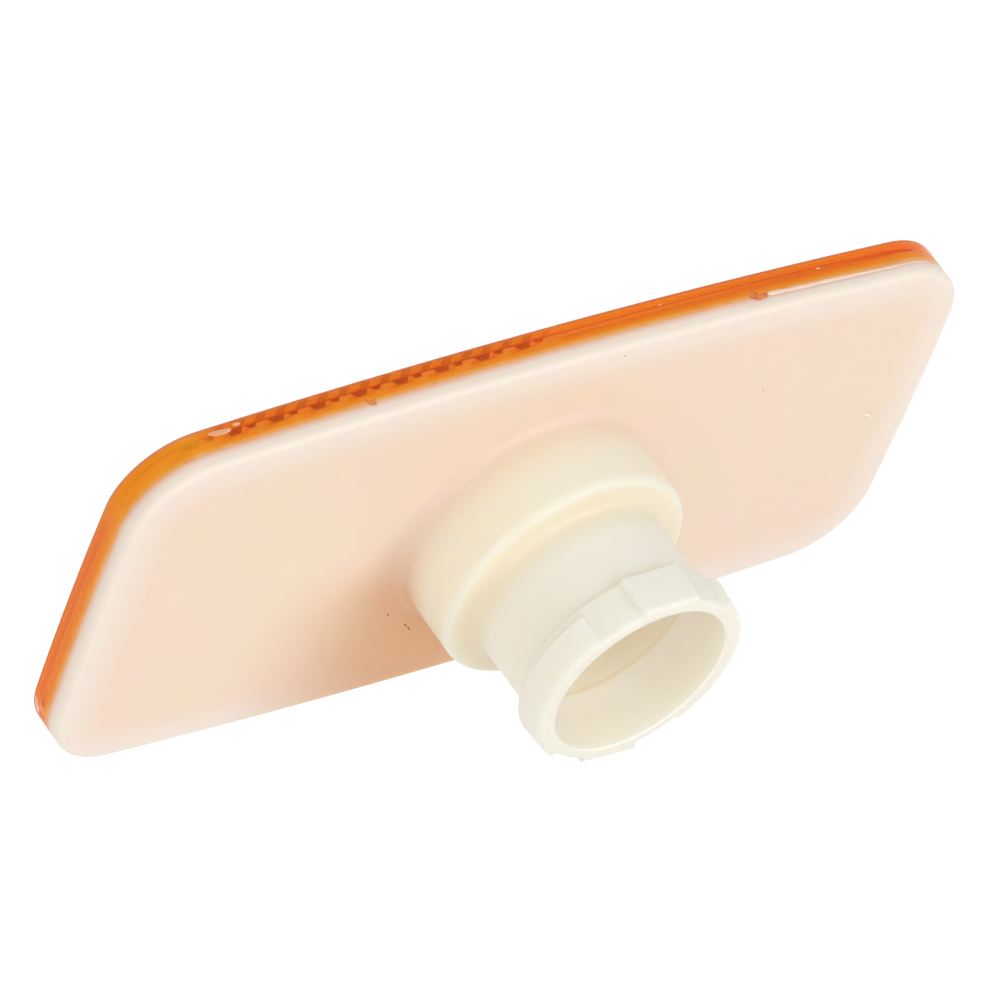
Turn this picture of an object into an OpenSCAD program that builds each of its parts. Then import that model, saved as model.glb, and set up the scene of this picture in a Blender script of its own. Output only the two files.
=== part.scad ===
// Rectangular side repeater lamp: a pale moulded housing that carries the bulb socket,
// and a clear amber lens welded to its rim.
// X runs along the lamp, Z is up, the lens faces -Y and the socket stands out along +Y.
// The origin is on the socket's axis, in the flat back face that lies against the vehicle's panel.

/* [Outline] */
// Length of the lamp
lamp_l = 98; // [84:1:130]
// Height of the lamp at its middle
lamp_h = 44.5; // [40:0.1:60]
// Distance of the lamp's middle from the socket's axis
middle_x = 0.6; // [0:0.1:6]
// Radius of the four corners
corner_r = 8.3; // [5:0.1:12]
// Rise of each long side from its ends to its middle
long_bow = 1.85; // [0.5:0.05:3]
// Rise of each short side from its ends to its middle
end_bow = 0.65; // [0.2:0.05:1.5]

/* [Housing] */
// Depth of the housing's side, from the back face to the lens
rim_d = 1.9; // [1.7:0.1:4]
// Thickness of the housing's flat back
back_wall = 1.4; // [1:0.1:1.6]
// Rounding of the back face's edge
back_edge_r = 0.6; // [0.2:0.1:1]
// Height of the rib that stands inside the lens
rib_h = 1.2; // [0.5:0.1:1.2]
// Thickness of the rib
rib_w = 0.8; // [0.6:0.1:1.2]
// Clearance between the rib and the lens wall
rib_gap = 0.15; // [0.1:0.05:0.3]

/* [Collar] */
// Outer radius of the collar that sits in the panel's hole
collar_r = 13.45; // [13:0.05:18]
// Height of the collar above the back face
collar_h = 8.8; // [6:0.1:14]
// Wall of the collar
collar_wall = 1.6; // [1.2:0.1:2]
// Wall of the collar's end
shoulder_wall = 1.6; // [1.2:0.1:2.4]
// Fillet between the back face and the collar
collar_base_r = 1.5; // [0.5:0.1:2]
// Rounding of the collar's end
collar_end_r = 0.9; // [0.3:0.1:1.2]

/* [Socket] */
// Outer radius of the socket
socket_r = 10.35; // [10.2:0.05:11]
// Length of the socket past the collar
socket_l = 13.7; // [10:0.1:20]
// Radius of the bore that takes the bulb holder
bore_r = 9.55; // [9:0.05:9.65]
// Depth of that bore
bore_d = 4.7; // [3:0.1:8]
// Radius of the throat behind the bore
throat_r = 9.3; // [7:0.1:9.4]
// Fillet between the collar and the socket
socket_base_r = 1.1; // [0.3:0.1:1.5]
// Outer radius of the thicker band at the mouth
band_r = 10.85; // [10.6:0.05:11]
// Rounding of the mouth's outer edge
lip_r = 0.5; // [0.2:0.05:0.6]
// Chamfer of the mouth's inner edge
lip_bevel = 0.15; // [0.05:0.05:0.2]

/* [Lugs] */
// Outer radius of the two wide lugs at their back end
lug_r = 11.8; // [11.4:0.1:12.4]
// Amount by which a wide lug gets thinner towards the mouth
lug_draft = 0.4; // [0.1:0.1:0.6]
// Angle that each wide lug covers, in degrees
lug_angle = 95.6; // [60:0.2:110]
// Length of the band and of all four lugs along the socket
lug_l = 5; // [3:0.1:7]
// Chamfer of the lugs' back ends
lug_bevel = 0.4; // [0.1:0.1:0.6]
// Width of the two narrow flat lugs
key_w = 6.5; // [4:0.1:8]
// Distance of a narrow lug's flat top from the axis
key_top = 11.1; // [11:0.1:12]

/* [Lens] */
// Depth of the lens's side
lens_d = 3; // [3:0.1:8]
// Thickness of the lens's side wall
lens_wall = 1.2; // [1:0.1:2.4]
// Thickness of the lens's front wall
lens_front = 0.9; // [0.8:0.1:1]
// Rounding of the front face's edge
lens_edge_r = 0.5; // [0.2:0.1:0.7]
// Distance between two tall prism bars
prism_pitch = 4.9; // [3.5:0.1:8]
// Height of a tall prism bar
prism_h = 0.7; // [0.4:0.05:0.75]
// Width of a tall prism bar at its foot
prism_w = 1.9; // [1.4:0.1:2.2]
// Height of a low prism bar
low_prism_h = 0.4; // [0.2:0.05:0.6]
// Width of a low prism bar at its foot
low_prism_w = 1.2; // [0.8:0.1:1.4]
// Distance from a tall bar to the low bar beside it
low_prism_step = 2.9; // [1.8:0.1:2.9]
// Distance between two flutes of the other half of the lens
flute_pitch = 2.4; // [1.6:0.1:4]
// Height of a flute
flute_h = 0.5; // [0.3:0.05:0.7]

/* [Hidden] */

$fn = 96;

// Segments of a corner, of half a long side, of half a short side and of a fillet
corner_steps = 9;
long_steps = 8;
end_steps = 4;
fillet_steps = 5;
// Segments of a flute
flute_steps = 4;
// Depth by which joined pieces run into each other
joint = 0.2;
// Length by which a cut runs past the surface that it opens
past = 1;

mouth_y = collar_h + socket_l;
seam_y = -rim_d;
front_y = seam_y - lens_d;
cavity_r = collar_r - collar_wall;
rib_inset = lens_wall + rib_gap;

// The long and short sides are arcs, and each corner is an arc tangent to both
long_r = (pow(lamp_l / 2, 2) + pow(long_bow, 2)) / (2 * long_bow);
end_r = (pow(lamp_h / 2, 2) + pow(end_bow, 2)) / (2 * end_bow);
long_c = [0, lamp_h / 2 - long_r];
end_c = [lamp_l / 2 - end_r, 0];
corner_c = circles_meet(long_c, long_r - corner_r, end_c, end_r - corner_r);
corner_from = direction(corner_c - end_c);
corner_to = direction(corner_c - long_c);

function direction(v) = atan2(v.y, v.x);
function polar(r, a) = [r * cos(a), r * sin(a)];
function arc(c, r, a0, a1, n) = [for (i = [0:n]) c + polar(r, a0 + (a1 - a0) * i / n)];
function but_last(list) = [for (i = [0:len(list) - 2]) list[i]];
function backwards(list) = [for (i = [len(list) - 1:-1:0]) list[i]];

// The upper right point that lies r1 from c1 and r2 from c2
function circles_meet(c1, r1, c2, r2) =
    let (d = norm(c2 - c1), u = (c2 - c1) / d, t = (r1 * r1 - r2 * r2 + d * d) / (2 * d))
    c1 + t * u + sqrt(r1 * r1 - t * t) * [u.y, -u.x];

// A quarter of the lamp's outline, drawn in by inset, from the right end to the top
function quarter(inset) = concat(
    but_last(arc(end_c, end_r - inset, 0, corner_from, end_steps)),
    but_last(arc(corner_c, corner_r - inset, corner_from, corner_to, corner_steps)),
    arc(long_c, long_r - inset, corner_to, 90, long_steps));

// The whole outline, anticlockwise
function outline(inset) =
    let (q = quarter(inset))
    concat(
        but_last(q),
        but_last([for (p = backwards(q)) [-p.x, p.y]]),
        but_last([for (p = q) -p]),
        but_last([for (p = backwards(q)) [p.x, -p.y]]));

// A solid skinned over outlines: each ring is [y, inset], and the first and last are closed by flat faces
module skin(rings) {
    count = len(outline(0));
    last = (len(rings) - 1) * count;
    points = [for (ring = rings) for (p = outline(ring[1])) [middle_x + p.x, ring[0], p.y]];
    sides = [for (k = [0:len(rings) - 2]) for (i = [0:count - 1])
        let (a = k * count + i, b = k * count + (i + 1) % count)
        [a, a + count, b + count, b]];
    polyhedron(
        points = points,
        faces = concat([[for (i = [0:count - 1]) i]], sides, [[for (i = [count - 1:-1:0]) last + i]]),
        convexity = 4);
}

// Turns a profile drawn as [radius, y] about the socket's axis
module turned(profile) {
    rotate([-90, 0, 0]) rotate_extrude() polygon(profile);
}

// The housing's flat back with its rim and the rib that locates the lens
module tray() {
    inner_inset = rib_inset + rib_w;
    skin(concat(
        [for (a = [90:-90 / fillet_steps:0])
            [-back_edge_r * (1 - sin(a)), back_edge_r * (1 - cos(a))]],
        [[seam_y, 0],
         [seam_y, rib_inset],
         [seam_y - rib_h, rib_inset],
         [seam_y - rib_h, inner_inset],
         [-back_wall, inner_inset]]));
}

// The outside of the collar and the socket, solid to the axis
module collar_and_socket() {
    base_c = [collar_r + collar_base_r, collar_base_r];
    end_c = [collar_r - collar_end_r, collar_h - collar_end_r];
    root_c = [socket_r + socket_base_r, collar_h + socket_base_r];
    lip_c = [band_r - lip_r, mouth_y - lip_r];
    band_y = mouth_y - lug_l;
    turned(concat(
        [[0, -back_wall / 2], [base_c.x, -back_wall / 2]],
        arc(base_c, collar_base_r, 270, 180, fillet_steps),
        arc(end_c, collar_end_r, 0, 90, fillet_steps),
        arc(root_c, socket_base_r, 270, 180, fillet_steps),
        [[socket_r, band_y], [band_r, band_y + band_r - socket_r]],
        arc(lip_c, lip_r, 0, 90, fillet_steps),
        [[0, mouth_y]]));
}

// The room for the bulb: the collar's inside, the throat and the bulb holder's bore
module bulb_room() {
    bore_y = mouth_y - bore_d;
    turned([
        [0, -back_wall - past],
        [cavity_r, -back_wall - past],
        [cavity_r, collar_h - shoulder_wall],
        [throat_r, collar_h - shoulder_wall],
        [throat_r, bore_y - (bore_r - throat_r)],
        [bore_r, bore_y],
        [bore_r, mouth_y - lip_bevel],
        [bore_r + lip_bevel, mouth_y],
        [bore_r + lip_bevel, mouth_y + past],
        [0, mouth_y + past]]);
}

// One wide lug, centred on the +X side of the socket
module wide_lug() {
    lip_c = [lug_r - lug_draft - lip_r, mouth_y - lip_r];
    back_y = mouth_y - lug_l;
    rotate([-90, 0, 0]) rotate([0, 0, -lug_angle / 2]) rotate_extrude(angle = lug_angle)
        polygon(concat(
            [[socket_r - joint, mouth_y], [socket_r - joint, back_y],
             [lug_r - lug_bevel, back_y], [lug_r, back_y + lug_bevel]],
            arc(lip_c, lip_r, 0, 90, fillet_steps)));
}

// One narrow lug with a flat top, on the +Z side of the socket
module narrow_lug() {
    lip_c = [mouth_y - lip_r, key_top - lip_r];
    foot_z = bore_r + lip_bevel + joint;
    back_y = mouth_y - lug_l;
    rotate([90, 0, 90]) linear_extrude(key_w, center = true)
        polygon(concat(
            [[mouth_y, foot_z], [back_y, foot_z], [back_y, key_top - lug_bevel], [back_y + lug_bevel, key_top]],
            arc(lip_c, lip_r, 90, 0, fillet_steps)));
}

module housing() {
    color([0.95, 0.92, 0.84])
        difference() {
            union() {
                tray();
                collar_and_socket();
                for (side = [0, 1]) {
                    mirror([side, 0, 0]) wide_lug();
                    mirror([0, 0, side]) narrow_lug();
                }
            }
            bulb_room();
        }
}

// The lens's clear shell: a side wall that stands on the housing's rim, and the front
module lens_shell() {
    skin(concat(
        [[front_y + lens_front, lens_wall],
         [seam_y, lens_wall],
         [seam_y, 0]],
        [for (a = [0:90 / fillet_steps:90])
            [front_y + lens_edge_r * (1 - sin(a)), lens_edge_r * (1 - cos(a))]]));
}

// A bar's section at x: a trapezium w wide at its foot, half as wide at its top and h high
module bar_section(x, w, h) {
    polygon([[x - w / 2, -joint], [x - w / 2, 0], [x - w / 4, h],
        [x + w / 4, h], [x + w / 2, 0], [x + w / 2, -joint]]);
}

// Upright prism bars behind the +X half of the front, tall and low by turns
module prism_bars() {
    first = middle_x + prism_pitch / 2;
    last = middle_x + lamp_l / 2 - lens_wall - low_prism_step - low_prism_w;
    linear_extrude(lamp_h, center = true)
        for (x = [first:prism_pitch:last]) {
            bar_section(x, prism_w, prism_h);
            bar_section(x + low_prism_step, low_prism_w, low_prism_h);
        }
}

// Level flutes behind the -X half: a row of arcs one pitch wide, drawn as [y, z]
module flutes() {
    count = floor((lamp_h - 2 * lens_wall) / flute_pitch);
    half = flute_pitch / 2;
    r = (half * half + flute_h * flute_h) / (2 * flute_h);
    sweep = asin(half / r);
    low_z = -count * half;
    translate([middle_x - lamp_l / 2, 0, 0])
        rotate([90, 0, 90]) linear_extrude(lamp_l / 2 - flute_pitch / 2)
            polygon(concat(
                [[-joint, -low_z], [-joint, low_z]],
                [for (k = [0:count - 1])
                    each but_last(arc([flute_h - r, low_z + (k + 0.5) * flute_pitch], r, -sweep, sweep, flute_steps))],
                [[0, -low_z]]));
}

// The optics on the inside of the front wall
module optics() {
    intersection() {
        translate([0, front_y + lens_front, 0]) {
            prism_bars();
            flutes();
        }
        skin([[seam_y, lens_wall - joint], [front_y + lens_front - joint, lens_wall - joint]]);
    }
}

module lens() {
    color([0.98, 0.5, 0.06, 0.7])
        union() {
            lens_shell();
            optics();
        }
}

housing();
lens();
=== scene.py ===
"""Looks of the side repeater lamp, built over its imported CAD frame.

Lengths are in millimetres until the meshes are written. X runs along the lamp, Z is up,
the lens faces -Y and the socket stands out along +Y, with its axis through the origin.
"""

from math import asin, atan2, cos, pi, radians, sin, sqrt

import bmesh
import bpy
from mathutils import Matrix, Vector, noise


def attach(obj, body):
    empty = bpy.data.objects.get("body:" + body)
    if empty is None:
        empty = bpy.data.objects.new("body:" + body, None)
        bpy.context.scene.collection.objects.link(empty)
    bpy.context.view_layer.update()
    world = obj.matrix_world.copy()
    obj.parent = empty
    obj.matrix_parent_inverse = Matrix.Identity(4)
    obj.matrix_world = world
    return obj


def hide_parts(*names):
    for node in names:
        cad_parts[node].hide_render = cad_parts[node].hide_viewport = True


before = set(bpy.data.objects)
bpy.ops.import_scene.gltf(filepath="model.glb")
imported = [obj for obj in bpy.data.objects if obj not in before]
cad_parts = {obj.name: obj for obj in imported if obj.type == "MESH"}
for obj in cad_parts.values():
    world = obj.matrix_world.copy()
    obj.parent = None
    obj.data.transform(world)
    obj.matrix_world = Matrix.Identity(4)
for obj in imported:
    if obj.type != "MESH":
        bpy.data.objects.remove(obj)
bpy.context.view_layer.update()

MM = 0.001

# The lamp's outline, as in the solids
LAMP_L, LAMP_H, MIDDLE_X = 98.0, 44.5, 0.6
CORNER_R, LONG_BOW, END_BOW = 8.3, 1.85, 0.65

# The housing's tray
RIM_D, BACK_WALL, BACK_EDGE_R = 1.9, 1.4, 0.6
RIB_H, RIB_W, RIB_GAP = 1.2, 0.8, 0.15

# The collar and the socket
COLLAR_R, COLLAR_H, COLLAR_WALL, SHOULDER_WALL = 13.45, 8.8, 1.6, 1.6
COLLAR_BASE_R, COLLAR_END_R = 1.5, 0.9
SOCKET_R, SOCKET_L, SOCKET_BASE_R, BAND_R = 10.35, 13.7, 1.1, 10.85
BORE_R, BORE_D, THROAT_R = 9.55, 4.7, 9.38
LIP_R, LIP_BEVEL = 0.5, 0.15
MOUTH_Y = COLLAR_H + SOCKET_L

# The lugs round the mouth: two wide ones along X and two narrow flat ones, the keys, along Z.
# LUG_L is the keys' length and the band's, and LUG_EDGE is how softly the lugs' edges turn.
LUG_R, LUG_DRAFT, LUG_BEVEL, LUG_ANGLE, LUG_L = 11.8, 0.4, 0.4, 95.6, 5.0
WIDE_LUG_L = 3.8
KEY_W, KEY_TOP = 6.5, 11.1
LUG_EDGE = 0.45
LOW_KEY_SLOPE = 0.06

# The lens and the optics inside it
LENS_D, LENS_WALL, LENS_FRONT, LENS_EDGE_R = 3.0, 1.2, 0.9, 0.5
FIRST_PRISM_X, PRISM_PITCH, PRISM_H, PRISM_W = 4.6, 4.7, 0.7, 1.9
LOW_PRISM_H, LOW_PRISM_W, LOW_PRISM_STEP = 0.4, 1.2, 1.9
FLUTE_PITCH, FLUTE_H = 2.4, 0.5
SEAM_Y = -RIM_D
FRONT_Y = SEAM_Y - LENS_D

# The melted joint: the housing's rim sinks this far into the lens
MELT = 0.03

# The front is milky this far in from its edge. The bars' ends, mirrored there, are a painted
# reflection: clearer stripes from this x on, twice in each pitch.
HAZY_W = 3.5
MIRRORED_X = 0.85

# How milky the lens's surfaces are, from 0 for clear
FRONT_EDGE_HAZE, FRONT_HAZE, FLOOR_HAZE = 0.74, 0.12, 0.35
BAR_HAZE, FLUTE_HAZE = 0.08, 0.3
SIDE_HAZE, LOW_SIDE_HAZE, INNER_HAZE = 0.26, 0.6, 0.17


def spaced(start, stop, count):
    """count + 1 even values from start to stop."""
    return [start + (stop - start) * i / count for i in range(count + 1)]


def smooth_step(t):
    t = min(1.0, max(0.0, t))
    return t * t * (3 - 2 * t)


def quarter_outline():
    """(point, outward normal) along a quarter of the outline, from the right end to the top."""
    long_r = ((LAMP_L / 2) ** 2 + LONG_BOW ** 2) / (2 * LONG_BOW)
    end_r = ((LAMP_H / 2) ** 2 + END_BOW ** 2) / (2 * END_BOW)
    long_c = Vector((0, LAMP_H / 2 - long_r))
    end_c = Vector((LAMP_L / 2 - end_r, 0))
    to_long, to_end = long_r - CORNER_R, end_r - CORNER_R
    between = end_c - long_c
    d = between.length
    u = between / d
    t = (to_long ** 2 - to_end ** 2 + d ** 2) / (2 * d)
    corner_c = long_c + t * u + sqrt(to_long ** 2 - t ** 2) * Vector((u.y, -u.x))
    if corner_c.y < 0:
        corner_c = long_c + t * u - sqrt(to_long ** 2 - t ** 2) * Vector((u.y, -u.x))
    corner_from = atan2(*(corner_c - end_c).yx)
    corner_to = atan2(*(corner_c - long_c).yx)
    points = []
    for c, r, a0, a1, count in (
        (end_c, end_r, 0.0, corner_from, 60),
        (corner_c, CORNER_R, corner_from, corner_to, 120),
        (long_c, long_r, corner_to, pi / 2, 160),
    ):
        for a in spaced(a0, a1, count)[:-1]:
            normal = Vector((cos(a), sin(a)))
            points.append((c + r * normal, normal))
    return points + [(Vector((0, LAMP_H / 2)), Vector((0, 1)))]


QUARTER = [(atan2(p.y, p.x), p, n) for p, n in quarter_outline()]


def edge_at(angle):
    """The outline's point and outward normal in a direction from the lamp's middle."""
    a = atan2(abs(sin(angle)), abs(cos(angle)))
    low, high = 0, len(QUARTER) - 1
    while high - low > 1:
        mid = (low + high) // 2
        if QUARTER[mid][0] <= a:
            low = mid
        else:
            high = mid
    a0, p0, n0 = QUARTER[low]
    a1, p1, n1 = QUARTER[high]
    t = (a - a0) / (a1 - a0)
    point, normal = p0.lerp(p1, t), n0.lerp(n1, t).normalized()
    sx, sz = (1 if cos(angle) >= 0 else -1), (1 if sin(angle) >= 0 else -1)
    return Vector((MIDDLE_X + point.x * sx, point.y * sz)), Vector((normal.x * sx, normal.y * sz))


def directions():
    """Angles round the axis: even steps, with finer ones at the corners and at the lugs' ends."""
    # in tenths of a degree
    angles = set(range(0, 3600, 10))
    key_half = int(10 * asin(KEY_W / 2 / SOCKET_R) * 180 / pi)
    ends = []
    wide_half = LUG_ANGLE * 5
    for middle, half in ((0, wide_half), (1800, wide_half), (900, key_half), (2700, key_half)):
        ends += [middle - half, middle + half]
    for end in ends:
        angles |= {int(end + step) % 3600 for step in range(-26, 27, 2)}
    for corner in (220, 1580, 2020, 3380):
        angles |= {(corner + step) % 3600 for step in range(-80, 81, 4)}
    return [radians(a / 10) for a in sorted(angles)]


def new_mesh(name, points, faces, smooth_angle=40):
    mesh = bpy.data.meshes.new(name)
    mesh.from_pydata([Vector(p) * MM for p in points], [], faces)
    mesh.validate()
    mesh.update()
    mesh.shade_smooth()
    mesh.set_sharp_from_angle(angle=radians(smooth_angle))
    piece = bpy.data.objects.new(name, mesh)
    bpy.context.scene.collection.objects.link(piece)
    return piece


def rings_to_faces(rings, count, closed):
    """Quads between rings of count points; closed joins the last ring to the first."""
    faces = []
    pairs = [(k, k + 1) for k in range(rings - 1)]
    if closed:
        pairs.append((rings - 1, 0))
    for a, b in pairs:
        for i in range(count):
            j = (i + 1) % count
            faces.append((a * count + j, b * count + j, b * count + i, a * count + i))
    return faces


def socket_radius(angle, y):
    """The socket's outer radius with its band and lugs."""
    back_y, wide_y = MOUTH_Y - LUG_L, MOUTH_Y - WIDE_LUG_L
    r = SOCKET_R + (BAND_R - SOCKET_R) * smooth_step((y - back_y + 0.1) / 0.6)
    if y < back_y - LUG_EDGE:
        return r
    from_middle = min(abs(atan2(sin(angle - a), cos(angle - a))) for a in (0, pi))
    wide = smooth_step((radians(LUG_ANGLE / 2) - from_middle) * LUG_R / LUG_EDGE + 0.5)
    wide *= smooth_step((y - wide_y) / LUG_EDGE + 0.5)
    wide_r = LUG_R - LUG_DRAFT * (y - back_y) / LUG_L
    wide_r -= LUG_BEVEL * (1 - smooth_step((y - wide_y) / LUG_BEVEL))
    narrow = smooth_step((KEY_W / 2 - abs(cos(angle)) * (KEY_TOP + 0.2)) / LUG_EDGE + 0.5)
    narrow *= smooth_step((y - back_y) / LUG_EDGE + 0.5)
    top = KEY_TOP - LUG_BEVEL * (1 - smooth_step((y - back_y) / LUG_BEVEL))
    if sin(angle) < 0:
        top += LOW_KEY_SLOPE * (KEY_W / 2 - KEY_TOP * cos(angle))
    flat_r = top / max(0.2, abs(sin(angle)))
    return r + max(wide * (wide_r - r), narrow * (flat_r - r))


MASKS = ("rim", "boss", "lip", "bore", "inside", "seam", "turn")


def housing_rows(angles):
    """Rows of points with their masks, over the outside and back through the inside."""
    rows = []

    def round_row(radius, y, **masks):
        row = []
        for a in angles:
            r = radius(a) if callable(radius) else radius
            row.append((r * cos(a), y, r * sin(a)))
        rows.append((row, masks))

    def plate_row(inset, y, part=1.0, inner_r=0.0, **masks):
        row = []
        for a in angles:
            p, n = edge_at(a)
            q = p - inset * n
            q = Vector((inner_r * cos(a), inner_r * sin(a))).lerp(q, part)
            row.append((q.x, y, q.y))
        rows.append((row, masks))

    # the bore, the mouth's bevel and its rounded lip
    bore_y = MOUTH_Y - BORE_D
    for y in spaced(bore_y, MOUTH_Y - LIP_BEVEL, 4):
        round_row(BORE_R, y, boss=1, bore=1)
    # turn marks the lip's rounding for a darker colour, painted shade that dims its highlight
    round_row(BORE_R + LIP_BEVEL, MOUTH_Y, boss=1, lip=1, turn=1)
    lip_y = MOUTH_Y - LIP_R
    for t in spaced(pi / 2, 0, 7):
        round_row(lambda a: socket_radius(a, lip_y) - LIP_R * (1 - cos(t)),
                  lip_y + LIP_R * sin(t), boss=1, lip=1, turn=smooth_step(t))
    # down the outside of the socket, past the lugs' back ends
    back_y = MOUTH_Y - LUG_L
    wide_y = MOUTH_Y - WIDE_LUG_L
    heights = (spaced(lip_y - 0.15, wide_y + 0.5, 6) + spaced(wide_y + 0.42, wide_y - 0.3, 10)
               + spaced(wide_y - 0.4, back_y + 0.5, 2) + spaced(back_y + 0.42, back_y - 0.3, 10))
    for y in heights:
        round_row(lambda a: socket_radius(a, y), y, boss=1,
                  lip=smooth_step((y - back_y + 0.8) / 2.5))
    root_y = COLLAR_H + SOCKET_BASE_R
    for y in spaced(back_y - 0.55, root_y + 0.1, 10):
        round_row(SOCKET_R, y, boss=1)
    # fillet, the collar's end, its wall and its fillet
    for t in spaced(pi, 1.5 * pi, 8):
        round_row(SOCKET_R + SOCKET_BASE_R * (1 + cos(t)), root_y + SOCKET_BASE_R * sin(t), boss=1)
    end_y = COLLAR_H - COLLAR_END_R
    round_row(COLLAR_R - COLLAR_END_R - 0.1, COLLAR_H, boss=1)
    # turn marks the collar's rounded end for a darker colour, painted shade that dims its
    # highlight
    for t in spaced(pi / 2, 0, 10):
        round_row(COLLAR_R - COLLAR_END_R * (1 - cos(t)), end_y + COLLAR_END_R * sin(t), boss=1,
                  turn=sin(2 * t) if t > 0 else 0)
    for y in spaced(end_y - 0.1, COLLAR_BASE_R + 0.1, 5):
        round_row(COLLAR_R, y, boss=smooth_step((y + 0.5) / 6.0))
    # the fillet's last row takes part of the rim's paler colour: a painted highlight along the
    # collar's foot
    for t in spaced(pi, 1.5 * pi, 10):
        y = COLLAR_BASE_R * (1 + sin(t))
        round_row(COLLAR_R + COLLAR_BASE_R * (1 + cos(t)), y, boss=smooth_step((y + 0.5) / 6.0),
                  rim=0.45 if y < 0.001 else 0)
    foot_r = COLLAR_R + COLLAR_BASE_R
    # the flat back, its rounded edge and the side
    for part in (0.02, 0.06, 0.12, 0.25, 0.4, 0.55, 0.7, 0.85):
        plate_row(6.0, 0, part, foot_r)
    for inset in (6.0, 5.0, 4.2, 3.5, 2.9, 2.3, 1.8, 1.3, 0.9, BACK_EDGE_R + 0.05):
        plate_row(inset, 0, rim=1 - smooth_step((inset - 1.0) / 4.4))
    for t in spaced(pi / 2, 0, 8):
        plate_row(BACK_EDGE_R * (1 - cos(t)), -BACK_EDGE_R * (1 - sin(t)), rim=1)
    # seam tints the side pink-orange towards the lens: painted light, the lens's glow through the
    # rim
    for y in spaced(-BACK_EDGE_R - 0.1, SEAM_Y, 5):
        plate_row(0, y, rim=1, seam=smooth_step((-y - 1.1) / 0.8))
    # the rim's edge, the rib and the inside
    rib = LENS_WALL + RIB_GAP
    plate_row(MELT, SEAM_Y - MELT, rim=1, seam=1)
    plate_row(rib, SEAM_Y - MELT, rim=1)
    plate_row(rib, SEAM_Y - RIB_H, rim=1)
    plate_row(rib + RIB_W, SEAM_Y - RIB_H, inside=1)
    plate_row(rib + RIB_W, -BACK_WALL, inside=1)
    cavity_r = COLLAR_R - COLLAR_WALL
    for part in (0.66, 0.33, 0.03):
        plate_row(rib + RIB_W, -BACK_WALL, part, cavity_r, inside=1)
    round_row(cavity_r, -BACK_WALL, inside=1)
    round_row(cavity_r, -BACK_WALL + 0.1, inside=1)
    round_row(cavity_r, COLLAR_H - SHOULDER_WALL, inside=1)
    round_row(THROAT_R, COLLAR_H - SHOULDER_WALL, inside=1)
    round_row(THROAT_R, bore_y - 2.5, inside=1)
    for t in spaced(0, 0.8, 4):
        round_row(THROAT_R + (BORE_R - THROAT_R) * smooth_step(t), bore_y - 2.0 * (1 - t), bore=1)
    return rows


def make_housing():
    angles = directions()
    rows = housing_rows(angles)
    points = [p for row, masks in rows for p in row]
    faces = rings_to_faces(len(rows), len(angles), closed=True)
    piece = new_mesh("housing_moulding", points, faces)
    for mask in MASKS:
        values = [masks.get(mask, 0) for row, masks in rows for p in row]
        layer = piece.data.attributes.new(mask, "FLOAT", "POINT")
        layer.data.foreach_set("value", values)
    return piece


def combined(base, tool, operation):
    """The base with the tool's solid added or shared, as a plain mesh."""
    modifier = base.modifiers.new("combine", "BOOLEAN")
    modifier.operation = operation
    modifier.solver = "MANIFOLD"
    modifier.object = tool
    depsgraph = bpy.context.evaluated_depsgraph_get()
    mesh = bpy.data.meshes.new_from_object(base.evaluated_get(depsgraph))
    base.modifiers.clear()
    base.data = mesh
    bpy.data.objects.remove(tool)
    return base


def outline_solid(name, rings, angles):
    """A solid over rings of (inset, y), closed by flat faces."""
    points = []
    for inset, y in rings:
        for a in angles:
            p, n = edge_at(a)
            q = p - inset * n
            points.append((q.x, y, q.y))
    count = len(angles)
    faces = rings_to_faces(len(rings), count, closed=False)
    faces.append(tuple(range(count))[::-1])
    faces.append(tuple((len(rings) - 1) * count + i for i in range(count)))
    return new_mesh(name, points, faces)


def extruded(profiles, along, to_point):
    """Points and faces of solids: each closed profile is run from one end to the other."""
    points, faces = [], []
    for profile in profiles:
        first, count = len(points), len(profile)
        points += [to_point(u, v, w) for w in along for u, v in profile]
        last = first + count
        faces += [(first + i, first + (i + 1) % count, last + (i + 1) % count, last + i)
                  for i in range(count)]
        faces.append(tuple(first + i for i in range(count))[::-1])
        faces.append(tuple(last + i for i in range(count)))
    return points, faces


def make_optics(angles):
    """Upright bars behind the +X half of the front and level flutes behind the other half."""
    floor_y, foot = FRONT_Y + LENS_FRONT, -0.3
    bars = []

    def bar(x, w, h):
        bars.append([(x - w / 2, foot), (x + w / 2, foot), (x + w / 2, 0), (x + w / 4, h),
                     (x - w / 4, h), (x - w / 2, 0)])

    x = FIRST_PRISM_X
    while x <= MIDDLE_X + LAMP_L / 2 - LENS_WALL - PRISM_W:
        bar(x, PRISM_W, PRISM_H)
        bar(x - LOW_PRISM_STEP, LOW_PRISM_W, LOW_PRISM_H)
        x += PRISM_PITCH
    points, faces = extruded(bars, (-LAMP_H / 2, LAMP_H / 2), lambda u, v, w: (u, floor_y + v, w))

    count = int((LAMP_H - 2 * LENS_WALL) / FLUTE_PITCH)
    half = FLUTE_PITCH / 2
    r = (half * half + FLUTE_H * FLUTE_H) / (2 * FLUTE_H)
    sweep = asin(half / r)
    low_z = -count * half
    section = [(-low_z, foot), (low_z, foot)]
    for k in range(count):
        middle = low_z + (k + 0.5) * FLUTE_PITCH
        section += [(middle + r * sin(t), FLUTE_H - r + r * cos(t))
                    for t in spaced(-sweep, sweep, 8)[:-1]]
    section.append((-low_z, 0))
    more, more_faces = extruded([section], (MIDDLE_X - LAMP_L / 2, MIDDLE_X - half),
                                lambda u, v, w: (w, floor_y + v, u))
    faces += [tuple(len(points) + i for i in face) for face in more_faces]
    optics = new_mesh("optics", points + more, faces)
    # the optics reach a little into the wall and the front, so that the solids overlap
    inset = LENS_WALL - 0.2
    room = outline_solid("optics_room", [(inset, SEAM_Y), (inset, floor_y - 0.2)], angles)
    return combined(optics, room, "INTERSECT")


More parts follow.
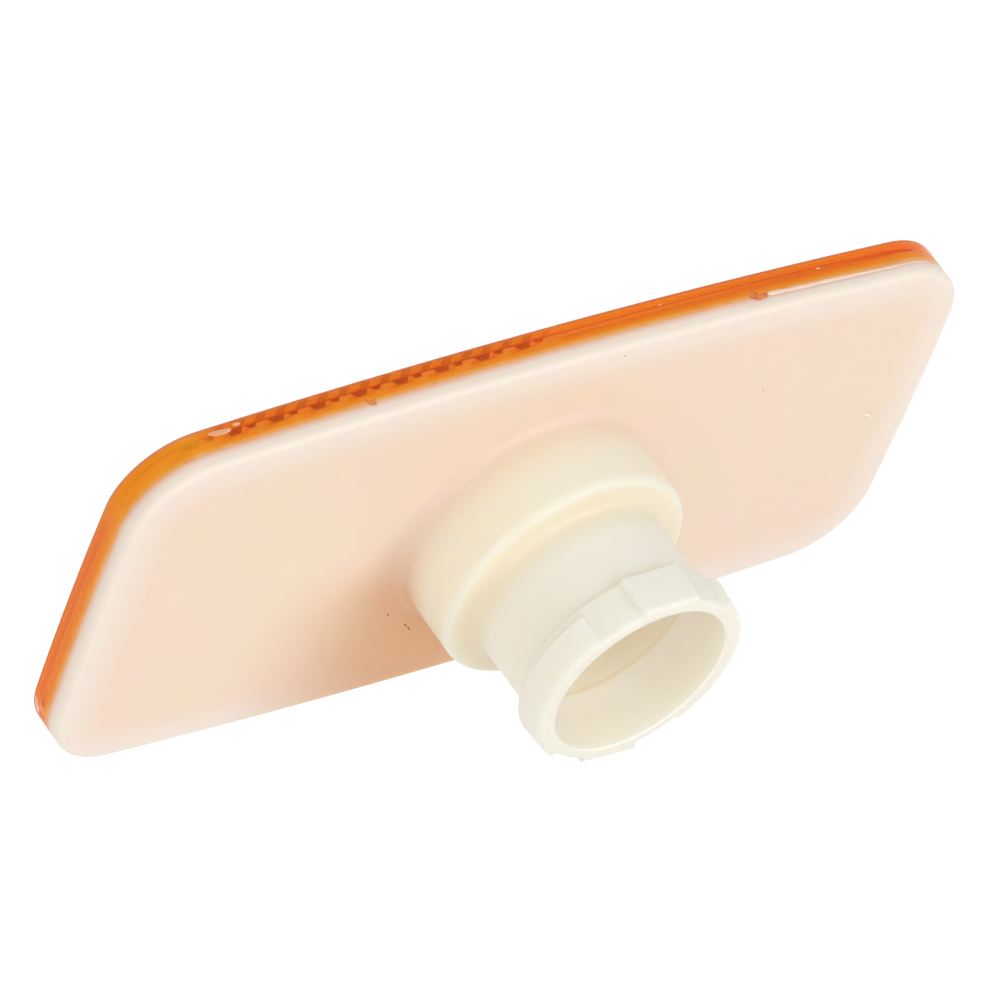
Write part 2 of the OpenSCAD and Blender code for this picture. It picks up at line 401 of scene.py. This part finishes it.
def on_outside(face):
    """Whether a face of the lens is on the outside of its side wall or its rounded edge."""
    away = face.normal.x * (face.center.x - MIDDLE_X * MM) + face.normal.z * face.center.z
    upright, level = abs(face.normal.y) < 0.3, abs(face.normal.y) >= 0.98
    on_edge = face.center.y < (FRONT_Y + LENS_EDGE_R) * MM
    return away > 0 and not level and (upright or on_edge)


def lens_haze(face):
    """How milky a face of the lens is: the front's edge most, the clear bars least."""
    x, y, z = face.center / MM
    floor_y = FRONT_Y + LENS_FRONT
    if y < floor_y - 0.05:
        # the front's middle is one face, round the lamp's middle
        return FRONT_EDGE_HAZE if abs(z) > 5 or abs(x) > 40 else FRONT_HAZE
    if y < floor_y + 0.02:
        return FLOOR_HAZE
    if y < SEAM_Y - 0.3 and face.normal.y > 0.05:
        return BAR_HAZE if x > MIDDLE_X else FLUTE_HAZE
    if on_outside(face):
        return LOW_SIDE_HAZE if face.normal.z < -0.3 else SIDE_HAZE
    return INNER_HAZE


def make_lens():
    angles = directions()
    rings = [(LENS_WALL, FRONT_Y + LENS_FRONT), (LENS_WALL, SEAM_Y), (0, SEAM_Y)]
    for t in spaced(0, pi / 2, 7):
        rings.append((LENS_EDGE_R * (1 - cos(t)), FRONT_Y + LENS_EDGE_R * (1 - sin(t))))
    rings.append((HAZY_W, FRONT_Y))
    shell = outline_solid("lens_moulding", rings, angles)
    lens = combined(shell, make_optics(angles), "UNION")
    mesh = lens.data
    mesh.shade_smooth()
    mesh.set_sharp_from_angle(angle=radians(30))
    for name, measure in (("haze", lens_haze), ("frost_and_painted_light", on_outside)):
        layer = mesh.attributes.new(name, "FLOAT", "FACE")
        layer.data.foreach_set("value", [measure(p) for p in mesh.polygons])
    return lens


class Nodes:
    """Builds a material's nodes."""

    def __init__(self, name):
        self.material = bpy.data.materials.new(name)
        self.material.use_nodes = True
        self.tree = self.material.node_tree
        self.shader = self.tree.nodes["Principled BSDF"]
        self.output = self.tree.nodes["Material Output"]
        self.place = self.tree.nodes.new("ShaderNodeTexCoord").outputs["Object"]

    def link(self, source, target):
        self.tree.links.new(source, target)

    def feed(self, socket, value):
        if hasattr(value, "links"):
            self.link(value, socket)
        else:
            socket.default_value = value

    def math(self, operation, a, b=0.0):
        node = self.tree.nodes.new("ShaderNodeMath")
        node.operation = operation
        self.feed(node.inputs[0], a)
        self.feed(node.inputs[1], b)
        return node.outputs[0]

    def times(self, *factors):
        product = factors[0]
        for factor in factors[1:]:
            product = self.math("MULTIPLY", product, factor)
        return product

    def ramp(self, value, low, high, to_low=0.0, to_high=1.0):
        node = self.tree.nodes.new("ShaderNodeMapRange")
        node.interpolation_type = "SMOOTHSTEP"
        for name, v in (("Value", value), ("From Min", low), ("From Max", high),
                        ("To Min", to_low), ("To Max", to_high)):
            self.feed(node.inputs[name], v)
        return node.outputs["Result"]

    def mix(self, factor, a, b):
        node = self.tree.nodes.new("ShaderNodeMix")
        node.data_type = "RGBA"
        self.feed(node.inputs["Factor"], factor)
        for name, value in (("A", a), ("B", b)):
            socket = next(s for s in node.inputs if s.name == name and s.type == "RGBA")
            self.feed(socket, value if hasattr(value, "links") else (*value, 1))
        return next(s for s in node.outputs if s.type == "RGBA")

    def mix_shaders(self, factor, a, b):
        node = self.tree.nodes.new("ShaderNodeMixShader")
        for socket, value in zip(node.inputs, (factor, a, b)):
            self.link(value, socket)
        return node.outputs[0]

    def new_shader(self, kind, **values):
        """A shader node with its sockets set: an underscore stands for a space in a name."""
        node = self.tree.nodes.new(kind)
        for name, value in values.items():
            node.inputs[name.replace("_", " ")].default_value = value
        return node

    def noise(self, scale, detail=2.0, roughness=0.5, stretch=None):
        node = self.tree.nodes.new("ShaderNodeTexNoise")
        place = self.place
        if stretch:
            mapping = self.tree.nodes.new("ShaderNodeMapping")
            self.link(place, mapping.inputs["Vector"])
            mapping.inputs["Scale"].default_value = stretch
            place = mapping.outputs["Vector"]
        self.link(place, node.inputs["Vector"])
        node.inputs["Scale"].default_value = scale
        node.inputs["Detail"].default_value = detail
        node.inputs["Roughness"].default_value = roughness
        return node.outputs["Fac"]

    def mask(self, name):
        node = self.tree.nodes.new("ShaderNodeAttribute")
        node.attribute_name = name
        return node.outputs["Fac"]

    def axis(self, name):
        node = self.tree.nodes.new("ShaderNodeSeparateXYZ")
        self.link(self.place, node.inputs[0])
        return node.outputs[name]

    def bump(self, height, strength, distance, normal=None):
        node = self.tree.nodes.new("ShaderNodeBump")
        node.inputs["Strength"].default_value = strength
        node.inputs["Distance"].default_value = distance
        self.link(height, node.inputs["Height"])
        if normal:
            self.link(normal, node.inputs["Normal"])
        return node.outputs["Normal"]


def srgb(r, g, b):
    """Linear values of an 8-bit colour."""
    return tuple(c / 12.92 / 255 if c <= 10 else ((c / 255 + 0.055) / 1.055) ** 2.4
                 for c in (r, g, b))


def cream_plastic():
    """Pale translucent plastic: the plate, the boss and the mouth differ slightly in colour, and
    painted shade, shadow and light are in the colour too.
    """
    n = Nodes("cream_plastic")
    mottle = n.noise(55, 3, 0.6)
    plate = n.mix(n.ramp(mottle, 0.3, 0.7), srgb(238, 215, 197), srgb(235, 216, 193))
    grain = n.ramp(n.noise(140, 3, 0.6), 0.35, 0.65)
    tube = n.mix(grain, srgb(247, 241, 227), srgb(244, 241, 229))
    painted_shade_shelf = n.mix(grain, srgb(241, 229, 206), srgb(239, 230, 209))
    collar = n.mix(grain, srgb(247, 239, 220), srgb(245, 240, 223))
    x, y, z = n.axis("X"), n.axis("Y"), n.axis("Z")
    # painted shade: the shoulder and the tube's root are darker and yellower, fading to the tube's
    # colour by 12.5 mm
    boss = n.mix(n.ramp(y, 0.0086, 0.0088), collar, painted_shade_shelf)
    boss = n.mix(n.ramp(y, 0.0092, 0.0125), boss, tube)
    # painted shade: the rim's rounding fades from its side's paler colour to the flat's darker
    # one, which dims its highlight
    edge = n.mix(n.ramp(y, -0.0006, -0.0001), srgb(245, 232, 219), srgb(238, 224, 212))
    colour = n.mix(n.mask("rim"), plate, edge)
    # painted shadow: the boss's shadow on the plate, painted warm for the lens's glow there
    painted_boss_shadow = n.times(n.ramp(x, 0.007, 0.031, 0.8, 0.0), n.ramp(z, -0.009, 0.003, 1.0, 0.0),
                   n.ramp(x, -0.018, 0.004))
    colour = n.mix(painted_boss_shadow, colour, srgb(222, 164, 100))
    colour = n.mix(n.mask("boss"), colour, boss)
    colour = n.mix(n.mask("lip"), colour, srgb(241, 240, 230))
    # painted shade: the rounded lip and the collar's rounded end are darker, which dims their
    # highlights
    colour = n.mix(n.times(n.mask("turn"), 0.8), colour, srgb(233, 229, 215))
    # painted light: the bore and the hollow inside are whiter than the other plastic, which
    # lightens their shade
    colour = n.mix(n.mask("bore"), colour, srgb(255, 250, 236))
    colour = n.mix(n.mask("inside"), colour, srgb(254, 247, 232))
    # painted light: the rim's side by the lens is pink-orange, for the lens's light glowing
    # through it
    colour = n.mix(n.mask("seam"), colour, srgb(252, 206, 170))
    n.link(colour, n.shader.inputs["Base Color"])
    n.link(n.ramp(n.noise(260, 2), 0.3, 0.7, 0.38, 0.48), n.shader.inputs["Roughness"])
    n.shader.inputs["IOR"].default_value = 1.49
    n.shader.inputs["Subsurface Weight"].default_value = 0.8
    n.shader.inputs["Subsurface Radius"].default_value = (1.0, 0.8, 0.55)
    n.shader.inputs["Subsurface Scale"].default_value = 0.0025
    fine = n.bump(n.noise(1900, 2, 0.6), 0.18, 0.00004)
    n.link(n.bump(n.noise(120, 2), 0.25, 0.00025, fine), n.shader.inputs["Normal"])
    return n.material


def amber_plastic():
    """Clear amber plastic, milky by the masks, which lets the lamps' light through; painted light,
    shade, sheen and reflection are on its side wall and front edge.
    """
    n = Nodes("amber_plastic")
    x, y, z = n.axis("X"), n.axis("Y"), n.axis("Z")
    n.shader.inputs["Base Color"].default_value = (1, 0.93, 0.8, 1)
    n.shader.inputs["Specular Tint"].default_value = (1, 0.5, 0.2, 1)
    n.shader.inputs["Transmission Weight"].default_value = 1.0
    n.shader.inputs["IOR"].default_value = 1.49
    n.link(n.ramp(n.noise(300, 2), 0.35, 0.7, 0.015, 0.04), n.shader.inputs["Roughness"])
    n.link(n.bump(n.noise(220, 2, 0.5), 0.03, 0.00006), n.shader.inputs["Normal"])

    # painted reflection: the bars' ends, mirrored in the front, as clearer stripes in its milky
    # edge
    milk = n.mask("haze")
    turns = n.times(n.math("SUBTRACT", x, MIRRORED_X * MM), 4 * pi / (PRISM_PITCH * MM))
    painted_reflection_stripes = n.times(n.ramp(n.math("COSINE", turns), -0.2, 0.4, 0.0, 0.42),
                      n.ramp(x, -0.001, 0.003), n.ramp(x, 0.038, 0.042, 1.0, 0.0),
                      n.math("GREATER_THAN", milk, (FRONT_EDGE_HAZE + LOW_SIDE_HAZE) / 2))
    haze = n.new_shader("ShaderNodeBsdfTranslucent", Color=(1.0, 0.45, 0.05, 1))
    glass = n.mix_shaders(n.times(milk, n.math("SUBTRACT", 1.0, painted_reflection_stripes)),
                          n.shader.outputs[0], haze.outputs[0])

    # painted shade: a dark red line on the side wall's outside, where the front's inside meets the
    # side wall behind it, beside the bars
    line = n.times(n.ramp(y, -0.00382, -0.00374), n.ramp(y, -0.0037, -0.00362, 1.0, 0.0),
                   n.ramp(x, -0.004, 0.002), n.ramp(x, 0.039, 0.043, 1.0, 0.0))
    # the side wall is milkier beside the joint, at one upper corner and along its rounded edge,
    # and painted light and sheen are on it there
    corner = n.times(n.ramp(x, 0.038, 0.043), n.ramp(z, 0.008, 0.016))
    melt = n.mix(n.ramp(n.noise(900, 2), 0.3, 0.7), srgb(255, 208, 130), srgb(254, 188, 98))
    # painted light: the wall goes from deep red-orange to brighter orange towards the joint, for
    # the lit rib that shows through
    wall = n.mix(n.ramp(y, -0.0034, -0.0026), srgb(255, 112, 4), srgb(255, 150, 18))
    # painted light: one upper corner is brighter orange
    wall = n.mix(corner, wall, srgb(255, 168, 34))
    wall = n.mix(n.ramp(y, -0.0025, -0.0019), wall, melt)
    wall = n.mix(line, wall, srgb(236, 78, 16))
    # painted sheen: the rounded front edge is pinkish pale, for the studio's reflection in it
    wall = n.mix(n.ramp(y, -0.0046, -0.0042), srgb(238, 150, 112), wall)
    frost_and_painted_light = n.new_shader("ShaderNodeBsdfPrincipled", Roughness=0.35, Specular_IOR_Level=0.15)
    n.link(wall, frost_and_painted_light.inputs["Base Color"])
    band = n.ramp(y, -0.0033, -0.0022, n.math("ADD", n.times(corner, 0.5), 0.13), 0.78)
    band = n.times(band, n.ramp(n.noise(160, 2), 0.25, 0.6, 0.75, 1.0))
    band = n.math("ADD", band, n.ramp(y, -0.0046, -0.0043, 0.3, 0.0))
    band = n.math("ADD", band, n.times(line, 0.4))
    side = n.mix_shaders(n.times(n.mask("frost_and_painted_light"), band), glass, frost_and_painted_light.outputs[0])

    # lamps shine through to the housing's rib and the inside
    path = n.tree.nodes.new("ShaderNodeLightPath")
    clear = n.new_shader("ShaderNodeBsdfTransparent", Color=(1, 1, 1, 1))
    lit = n.mix_shaders(path.outputs["Is Shadow Ray"], side, clear.outputs[0])
    n.link(lit, n.output.inputs["Surface"])
    absorb = n.new_shader("ShaderNodeVolumeAbsorption", Color=(1.0, 0.79, 0.0, 1), Density=900)
    n.link(absorb.outputs[0], n.output.inputs["Volume"])
    return n.material


def pale_melt(name, light, dark):
    """Pale plastic that the weld pressed out, smooth and glossy."""
    n = Nodes(name)
    n.link(n.mix(n.ramp(n.noise(500, 3), 0.35, 0.65), light, dark), n.shader.inputs["Base Color"])
    n.link(n.ramp(n.noise(800, 2), 0.3, 0.7, 0.18, 0.32), n.shader.inputs["Roughness"])
    n.link(n.bump(n.noise(900, 2), 0.3, 0.00005), n.shader.inputs["Normal"])
    return n.material


def amber_melt():
    """Amber plastic that the weld pressed out, streaked and thin."""
    n = Nodes("amber_melt")
    streaks = n.noise(700, 4, 0.7, stretch=(0.35, 1, 1))
    n.link(n.mix(n.ramp(streaks, 0.38, 0.62), srgb(212, 96, 22), srgb(240, 146, 62)),
           n.shader.inputs["Base Color"])
    n.link(n.ramp(streaks, 0.3, 0.7, 0.2, 0.45), n.shader.inputs["Roughness"])
    n.link(n.bump(streaks, 0.5, 0.00006), n.shader.inputs["Normal"])
    return n.material


def dirt():
    """Dark specks of dust that sit on the back."""
    n = Nodes("dust_speck")
    n.link(n.mix(n.ramp(n.noise(3000, 2), 0.35, 0.65), srgb(150, 112, 70), srgb(118, 92, 58)),
           n.shader.inputs["Base Color"])
    n.shader.inputs["Roughness"].default_value = 0.8
    return n.material


def outline_where(axis, value, low, high):
    """The outline's point and normal between two directions, where one coordinate has a value."""
    way = 1 if edge_at(high)[0][axis] > edge_at(low)[0][axis] else -1
    while high - low > 1e-6:
        angle = (low + high) / 2
        if way * edge_at(angle)[0][axis] < way * value:
            low = angle
        else:
            high = angle
    return edge_at(low)


def on_top_side(u, v, height):
    """The point over the top side at x = u and y = v."""
    p, normal = outline_where(0, u, 0.05, pi - 0.05)
    # the rim's edge is rounded over its last part
    sink = 0
    if v >= -BACK_EDGE_R:
        sink = BACK_EDGE_R - sqrt(max(0, BACK_EDGE_R ** 2 - (v + BACK_EDGE_R) ** 2))
    q = p + (height - sink) * normal
    return q.x, v, q.y


def on_end_side(u, v, height):
    """The point over the +X end at z = u and y = v."""
    p, normal = outline_where(1, u, 0.05 - pi / 2, pi / 2 - 0.05)
    q = p + height * normal
    return q.x, v, q.y


def on_back(u, v, height):
    """The point over the flat back at x = u and z = v."""
    return u, height, v


def settle(name, points, faces, material):
    """A small piece with its faces turned outward, riding with the lamp."""
    piece = new_mesh(name, points, faces, 60)
    work = bmesh.new()
    work.from_mesh(piece.data)
    bmesh.ops.recalc_face_normals(work, faces=work.faces)
    work.to_mesh(piece.data)
    work.free()
    piece.data.materials.append(material)
    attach(piece, "root")


def mound(name, outline, place, lift, material, rounds=2):
    """A low mound over a closed outline, its corners cut a few times."""
    outline = [Vector(p) for p in outline]
    for _ in range(rounds):
        outline = [q for a, b in zip(outline, outline[1:] + outline[:1])
                   for q in (a.lerp(b, 0.25), a.lerp(b, 0.75))]
    centre = sum(outline, Vector((0, 0))) / len(outline)
    count = len(outline)
    points = []
    for size, height in ((1.0, -0.05), (1.0, 0.0), (0.88, 0.65 * lift), (0.6, lift)):
        points += [place(*centre.lerp(p, size), height) for p in outline]
    faces = rings_to_faces(4, count, closed=False)
    points.append(place(*centre, lift))
    faces += [(3 * count + i, 3 * count + (i + 1) % count, 4 * count) for i in range(count)]
    faces.append(tuple(range(count)))
    settle(name, points, faces, material)


def bead(name, path, place, material, steps=10):
    """A raised bead along a path of (u, v, half width, height), with a wavering width."""
    fine = []
    for a, b in zip(path, path[1:]):
        fine += [tuple(p + (q - p) * t / steps for p, q in zip(a, b)) for t in range(steps)]
    fine.append(path[-1])
    points, arc = [], spaced(0, pi, 8)
    for k, (u, v, half, height) in enumerate(fine):
        ragged = 1 + 0.5 * noise.noise(Vector((u * 2.3, 0.7, 0)))
        shift = 0.06 * noise.noise(Vector((u * 1.1, 5.2, 0)))
        ring = [(u, v + shift + half * ragged * cos(t), height * ragged * sin(t)) for t in arc]
        ring += [(u, v + shift - half * ragged, -0.05), (u, v + shift + half * ragged, -0.05)]
        points += [place(*p) for p in ring]
    count = len(arc) + 2
    faces = rings_to_faces(len(fine), count, closed=False)
    faces.append(tuple(range(count)))
    faces.append(tuple((len(fine) - 1) * count + i for i in range(count)))
    settle(name, points, faces, material)


def add_marks():
    """The weld's bead and flash, the pale spots on the lens, one of them a painted highlight, and
    the specks on the back.
    """
    pale = pale_melt("pale_melt", srgb(254, 228, 206), srgb(250, 216, 190))
    peach = pale_melt("peach_melt", srgb(252, 206, 170), srgb(240, 172, 126))
    white = pale_melt("white_fleck", srgb(255, 252, 244), srgb(254, 244, 232))
    amber, dust = amber_melt(), dirt()
    bead("weld_bead",
         [(-22.9, -1.95, 0.05, 0.02), (-23.6, -1.9, 0.2, 0.07), (-27.2, -1.82, 0.26, 0.09),
          (-33.2, -1.72, 0.2, 0.08), (-37.0, -1.66, 0.13, 0.06), (-40.5, -1.62, 0.09, 0.05),
          (-43.6, -1.7, 0.05, 0.03)],
         on_top_side, pale)
    mound("weld_flash",
          [(-20.9, -2.0), (-21.3, -1.85), (-21.6, -1.6), (-22.1, -1.42), (-22.5, -1.55),
           (-22.9, -1.5), (-23.3, -1.78), (-23.5, -2.1), (-22.9, -2.2), (-22.4, -2.1),
           (-22.1, -2.6), (-21.6, -2.9), (-21.5, -2.3)],
          on_top_side, 0.06, amber, 1)
    mound("weld_nick",
          [(23.9, -1.85), (23.4, -1.55), (22.9, -1.68), (23.1, -1.95), (22.7, -2.25),
           (23.4, -2.15), (24.1, -2.45), (23.9, -2.05)],
          on_top_side, 0.05, amber, 1)
    mound("pale_spot_a",
          [(40.6, -4.15), (39.4, -4.1), (38.2, -3.95), (38.2, -3.6), (38.9, -3.4),
           (40.0, -3.5), (40.7, -3.85)],
          on_top_side, 0.05, peach)
    mound("pale_spot_b",
          [(37.75, -4.3), (37.1, -4.3), (36.9, -4.0), (37.5, -3.85), (37.85, -4.05)],
          on_top_side, 0.04, peach)
    mound("pale_spot_c", [(-30.3, -3.55), (-30.75, -3.6), (-30.85, -3.4), (-30.4, -3.38)],
          on_top_side, 0.03, peach, 1)
    mound("pale_spot_d", [(-11.2, -3.85), (-11.55, -3.88), (-11.65, -3.72), (-11.3, -3.7)],
          on_top_side, 0.03, peach, 1)
    # painted highlight: this pale mound low on the +X end stands in for a highlight there
    mound("painted_highlight_e",
          [(-13.76, -4.35), (-13.9, -3.86), (-15.05, -3.5), (-15.98, -3.63), (-15.9, -3.99),
           (-14.84, -4.35)],
          on_end_side, 0.05, peach, 1)
    mound("scratch",
          [(-20.25, -1.65), (-20.5, -1.2), (-20.95, -0.7), (-21.0, -0.78), (-20.6, -1.3)],
          on_top_side, 0.02, pale, 1)
    for name, outline in (
        ("speck_a", [(9.28, -13.12), (8.96, -13.56), (8.83, -13.54), (9.08, -13.14)]),
        ("speck_b", [(8.7, -13.79), (8.24, -14.4), (8.1, -14.37), (8.5, -13.86)]),
        ("speck_c", [(12.1, -10.7), (11.85, -10.65), (11.78, -10.9), (12.02, -10.95)]),
        ("speck_d", [(7.32, 12.75), (7.14, 12.74), (7.16, 12.57), (7.33, 12.58)]),
        ("speck_e", [(-5.16, 20.98), (-5.33, 20.97), (-5.32, 20.82), (-5.15, 20.83)]),
        ("speck_f", [(-26.15, 9.06), (-26.32, 9.05), (-26.31, 8.91), (-26.14, 8.92)]),
    ):
        mound(name, outline, on_back, 0.03, dust, 1)
    mound("fleck",
          [(-41.7, 0.46), (-42.6, -0.12), (-43.45, -0.7), (-43.4, -0.86), (-42.5, -0.3),
           (-41.74, 0.3)],
          on_back, 0.04, white, 1)


housing = make_housing()
housing.data.materials.append(cream_plastic())
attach(housing, "root")
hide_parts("housing")

lens = make_lens()
lens.data.materials.clear()
lens.data.materials.append(amber_plastic())
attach(lens, "root")
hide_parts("lens")

add_marks()


# The camera fitted to the photograph: its place in millimetres, its axes and its lens
CAMERA_PLACE = Vector((540.47, 466.89, 697.1))
CAMERA_AXES = (
    (-0.80967, 0.51684, 0.279),
    (-0.22983, -0.71607, 0.65951),
    (0.54035, 0.46961, 0.6982),
)
CAMERA_LENS, SENSOR_W = 371.69, 36


def set_camera():
    data = bpy.data.cameras.new("camera")
    data.sensor_width = SENSOR_W
    data.lens = CAMERA_LENS
    data.clip_start = 0.01
    camera = bpy.data.objects.new("camera", data)
    turn = Matrix(CAMERA_AXES).transposed().to_4x4()
    camera.matrix_world = Matrix.Translation(CAMERA_PLACE * MM) @ turn
    bpy.context.scene.collection.objects.link(camera)
    bpy.context.scene.camera = camera


def set_lamp(name, direction, distance, size, power):
    """A rectangular lamp in a direction from the origin that shines on it."""
    data = bpy.data.lights.new(name, "AREA")
    data.shape = "RECTANGLE"
    data.size, data.size_y = size
    data.energy = power
    lamp = bpy.data.objects.new(name, data)
    direction = Vector(direction).normalized()
    lamp.matrix_world = (Matrix.Translation(direction * distance)
                         @ direction.to_track_quat("Z", "Y").to_matrix().to_4x4())
    bpy.context.scene.collection.objects.link(lamp)


def seen_directly(tree):
    """A socket that is 1 on camera, glossy and transmission rays."""
    path = tree.nodes.new("ShaderNodeLightPath")
    total = path.outputs["Is Camera Ray"]
    for name in ("Is Glossy Ray", "Is Transmission Ray"):
        node = tree.nodes.new("ShaderNodeMath")
        node.operation, node.use_clamp = "ADD", True
        tree.links.new(total, node.inputs[0])
        tree.links.new(path.outputs[name], node.inputs[1])
        total = node.outputs[0]
    return total


def set_light():
    scene = bpy.context.scene
    scene.view_settings.view_transform = "Standard"
    world = bpy.data.worlds.new("studio")
    scene.world = world
    world.use_nodes = True
    tree = world.node_tree
    soft = tree.nodes["Background"]
    soft.inputs["Color"].default_value = (1, 1, 1, 1)
    soft.inputs["Strength"].default_value = 0.55
    white = tree.nodes.new("ShaderNodeBackground")
    white.inputs["Strength"].default_value = 1.0
    white.inputs["Color"].default_value = (1, 1, 1, 1)
    mix = tree.nodes.new("ShaderNodeMixShader")
    tree.links.new(seen_directly(tree), mix.inputs[0])
    tree.links.new(soft.outputs[0], mix.inputs[1])
    tree.links.new(white.outputs[0], mix.inputs[2])
    tree.links.new(mix.outputs[0], tree.nodes["World Output"].inputs[0])
    set_lamp("key", (-0.35, 0.7, 0.62), 0.9, (0.45, 0.45), 2.4)
    set_lamp("fill", (0.85, 0.2, 0.5), 1.0, (0.7, 0.7), 1.9)
    set_lamp("mouth", (0.2, 0.9, 0.35), 1.0, (0.5, 0.5), 1.5)


def make_floor():
    size, z = 2.5, -0.12
    mesh = bpy.data.meshes.new("floor")
    corners = [(-size, -size, z), (size, -size, z), (size, size, z), (-size, size, z)]
    mesh.from_pydata(corners, [], [(0, 1, 2, 3)])
    floor = bpy.data.objects.new("floor", mesh)
    bpy.context.scene.collection.objects.link(floor)
    material = bpy.data.materials.new("pale_floor")
    material.use_nodes = True
    tree = material.node_tree
    shader = tree.nodes["Principled BSDF"]
    shader.inputs["Base Color"].default_value = (0.9, 0.9, 0.9, 1)
    shader.inputs["Roughness"].default_value = 0.9
    shader.inputs["Specular IOR Level"].default_value = 0.0
    shader.inputs["Emission Color"].default_value = (1, 1, 1, 1)
    node = tree.nodes.new("ShaderNodeMath")
    node.operation = "MULTIPLY"
    node.inputs[1].default_value = 0.35
    tree.links.new(seen_directly(tree), node.inputs[0])
    tree.links.new(node.outputs[0], shader.inputs["Emission Strength"])
    mesh.materials.append(material)


set_camera()
set_light()
make_floor()
